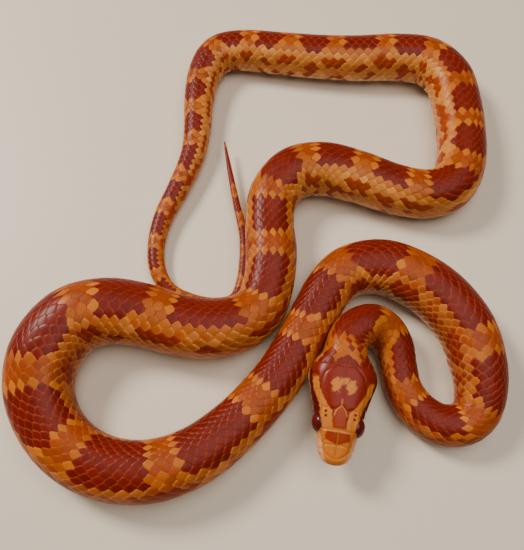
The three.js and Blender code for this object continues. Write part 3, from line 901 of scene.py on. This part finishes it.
rng = np.random.default_rng(7)
index = np.arange(0, int(count_along[-1]) - 1)
all_s, all_turn, all_width = [], [], []
zone_ends = [start for start, _ in ROW_ZONES[1:]] + [TOTAL_LENGTH - BARE_TIP]
for (start, rows), end in zip(ROW_ZONES, zone_ends):
    half_rows = rows // 2
    for j in range(-half_rows, half_rows + 1):
        s = np.interp(index + 0.5 * (j % 2), count_along, fine_s)
        s = s[(s >= start) & (s < end)]
        all_s.append(s)
        all_turn.append(np.full(s.shape, j / (half_rows + 0.5)))
        all_width.append(np.full(s.shape, 1 / (half_rows + 0.5)))
scale_s, scale_turn, scale_width = (np.concatenate(a) for a in (all_s, all_turn, all_width))
order = np.argsort(scale_s, kind="stable")
scale_s, scale_turn, scale_width = scale_s[order], scale_turn[order], scale_width[order]
scale_s = scale_s + rng.normal(0, 0.05, scale_s.shape)
pieces = np.array_split(np.arange(len(scale_s)), SCALE_PIECES)
horn = hide_finish("scale_horn", roughness=0.36, bump=0.2, coat=0.05)
for number, chosen in enumerate(pieces):
    s0, t0, w0 = scale_s[chosen], scale_turn[chosen], scale_width[chosen]
    pitch = pitch_at(s0)
    size = pitch / MIDBODY_PITCH * rng.uniform(0.94, 1.06, s0.shape)
    s = s0[:, None] + tile_along[None, :] * pitch[:, None]
    share = t0[:, None] + tile_across[None, :] * w0[:, None]
    turn = turn_from(share)
    s = np.clip(s, 0, TOTAL_LENGTH)
    angle = leaning(s, turn)
    points = form(s, angle) + outward(s, angle) * (tile_height[None, :] * size[:, None])[..., None]
    base, rim = markings(s0, turn_from(t0))
    shade = rng.uniform(0.88, 1.12, s0.shape)[:, None]
    low = smooth(np.degrees(np.abs(turn_from(t0))), 48, 68)[:, None]
    rim_share = tile_rim * (1 - low) + flank_rim * low
    colors = mix((base * shade)[:, None, :], (rim * shade)[:, None, :], rim_share)
    uvs = unwrap(s0, turn_from(t0))[:, None, :]
    uvs = uvs + UNWRAP_REACH * np.stack([tile_along, tile_across], axis=-1)[None]
    coat = joined("scales_%d" % (number + 1), points, lozenge_sizes, lozenge_corners, colors, uvs)
    coat.data.materials.append(horn)
    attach(coat, "root")

# The scutes of the belly, one broad plate across it for each row of scales.
# Smooth horn, flat where the snake rests, with the hind edge of each lying over the next. Those under
# the tail are parted down the middle.
TAIL_SHARE = 0.196
VENT_AT = TOTAL_LENGTH * (1 - TAIL_SHARE)
SLAB_THICKNESS = 0.5
FULL_SCUTE_PITCH = 3.0
CHECK_PITCH = 9.5
bpy.ops.object.select_all(action="DESELECT")
bpy.ops.mesh.primitive_grid_add(x_subdivisions=3, y_subdivisions=14, size=2)
plate = bpy.context.object
thick = plate.modifiers.new("thick", "SOLIDIFY")
thick.thickness = SLAB_THICKNESS
thick.offset = -1
bpy.ops.object.modifier_apply(modifier="thick")
slab, slab_sizes, slab_corners = form_of(plate)
slab_low = slab[:, 2] < -SLAB_THICKNESS / 2
slab_along = slab[:, 0] * 0.56 + 0.1
slab_across = slab[:, 1]
slab_height = np.where(slab_low, -0.34, -0.02 - 0.1 * (1 - slab[:, 0]) / 2)
plain = np.interp(index, count_along, fine_s)
plain = plain[(plain > 31) & (plain < TOTAL_LENGTH - 4)]
scute_s, scute_mid, scute_half = [], [], []
belly_half = math.pi - math.radians(BACK_EDGE)
for s in plain:
    if s < VENT_AT:
        scute_s.append(s)
        scute_mid.append(math.pi)
        scute_half.append(belly_half + 0.14)
    else:
        for side in (-1, 1):
            scute_s.append(s)
            scute_mid.append(math.pi + side * (belly_half / 2 + 0.03))
            scute_half.append(belly_half / 2 + 0.05)
scute_s, scute_mid, scute_half = (np.array(a) for a in (scute_s, scute_mid, scute_half))
pitch = pitch_at(scute_s)
s = scute_s[:, None] + slab_along[None, :] * pitch[:, None]
# the hind edge curves forward a little at its ends
curve = 0.18 * pitch[:, None] * (slab_across[None, :] ** 2) * (slab_along[None, :] > 0)
s = np.clip(s - curve, 0, TOTAL_LENGTH)
turn = scute_mid[:, None] + slab_across[None, :] * scute_half[:, None]
angle = leaning(s, turn)
size = np.minimum(1, pitch / FULL_SCUTE_PITCH)
points = form(s, angle) + outward(s, angle) * (slab_height[None, :] * size[:, None])[..., None]
points[..., 2] = np.maximum(points[..., 2], 0.0)
check = np.sin(2 * np.pi * scute_s / CHECK_PITCH + 0.8)[:, None] * np.sign(np.sin(turn))
check = (check > 0.35) & (np.abs(np.abs(turn - math.pi) - 0.5) < 0.32)
shade = rng.uniform(0.92, 1.05, scute_s.shape)[:, None, None]
colors = np.where(check[..., None], BELLY_RED, BELLY_CREAM) * shade
uvs = unwrap(scute_s, (scute_mid + np.pi) % (2 * np.pi) - np.pi)[:, None, :]
uvs = uvs + UNWRAP_REACH * np.stack([slab_along, slab_across], axis=-1)[None]
belly = joined("belly_scutes", points, slab_sizes, slab_corners, colors, uvs)
belly.data.materials.append(hide_finish("scute_horn", roughness=0.34, bump=0.12, coat=0.12))
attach(belly, "root")

# The eyes, one on each side of the head, with no lids.
# A round ball under a clear fixed scale: a wide maroon iris with a round pupil of a deeper red.
EYE_RADIUS = 2.9
EYE_FLATNESS = 0.86
IRIS = np.array([0.105, 0.0045, 0.004])
PUPIL = np.array([0.055, 0.0025, 0.0025])
wet = hide_finish("wet_eye", roughness=0.25, bump=0.0, coat=0.3)
wet.node_tree.nodes["Principled BSDF"].inputs["Coat Roughness"].default_value = 0.08
for name, node, side in (("eyeball_left", "eye_left", -1), ("eyeball_right", "eye_right", 1)):
    bpy.ops.object.select_all(action="DESELECT")
    bpy.ops.mesh.primitive_uv_sphere_add(segments=64, ring_count=40, radius=1)
    ball = bpy.context.object
    ball.name = name
    bpy.ops.object.shade_smooth()
    local = np.array([v.co[:] for v in ball.data.vertices])
    local = np.stack([local[:, 0], local[:, 2] * side, local[:, 1]], axis=-1)
    gaze = local[:, 1] * side
    bulge = 1 + 0.03 * smooth(gaze, 0.5, 1.0)
    shape = local * np.array([EYE_STRETCH, EYE_FLATNESS, 1]) * EYE_RADIUS * bulge[:, None]
    points = head_frame(shape + np.array([EYE_AT[0], side * EYE_AT[1], EYE_AT[2]]))
    ball.data.vertices.foreach_set("co", to_metres(points).ravel())
    out = np.degrees(np.arccos(np.clip(gaze, -1, 1)))
    grain = 0.85 + 0.3 * np.sin(np.arctan2(local[:, 2], local[:, 0]) * 23) ** 2
    colors = mix(PUPIL, IRIS * grain[:, None], smooth(out, 20, 25))
    # painted shade: the ball is darker towards its edge, where it sinks into the head
    colors = colors * (1 - 0.3 * smooth(out, 52, 62))[:, None]
    color_by(ball.data, colors)
    bpy.ops.object.mode_set(mode="EDIT")
    bpy.ops.mesh.select_all(action="SELECT")
    bpy.ops.mesh.normals_make_consistent(inside=False)
    bpy.ops.object.mode_set(mode="OBJECT")
    ball.data.materials.append(wet)
    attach(ball, "root")
    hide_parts(node)
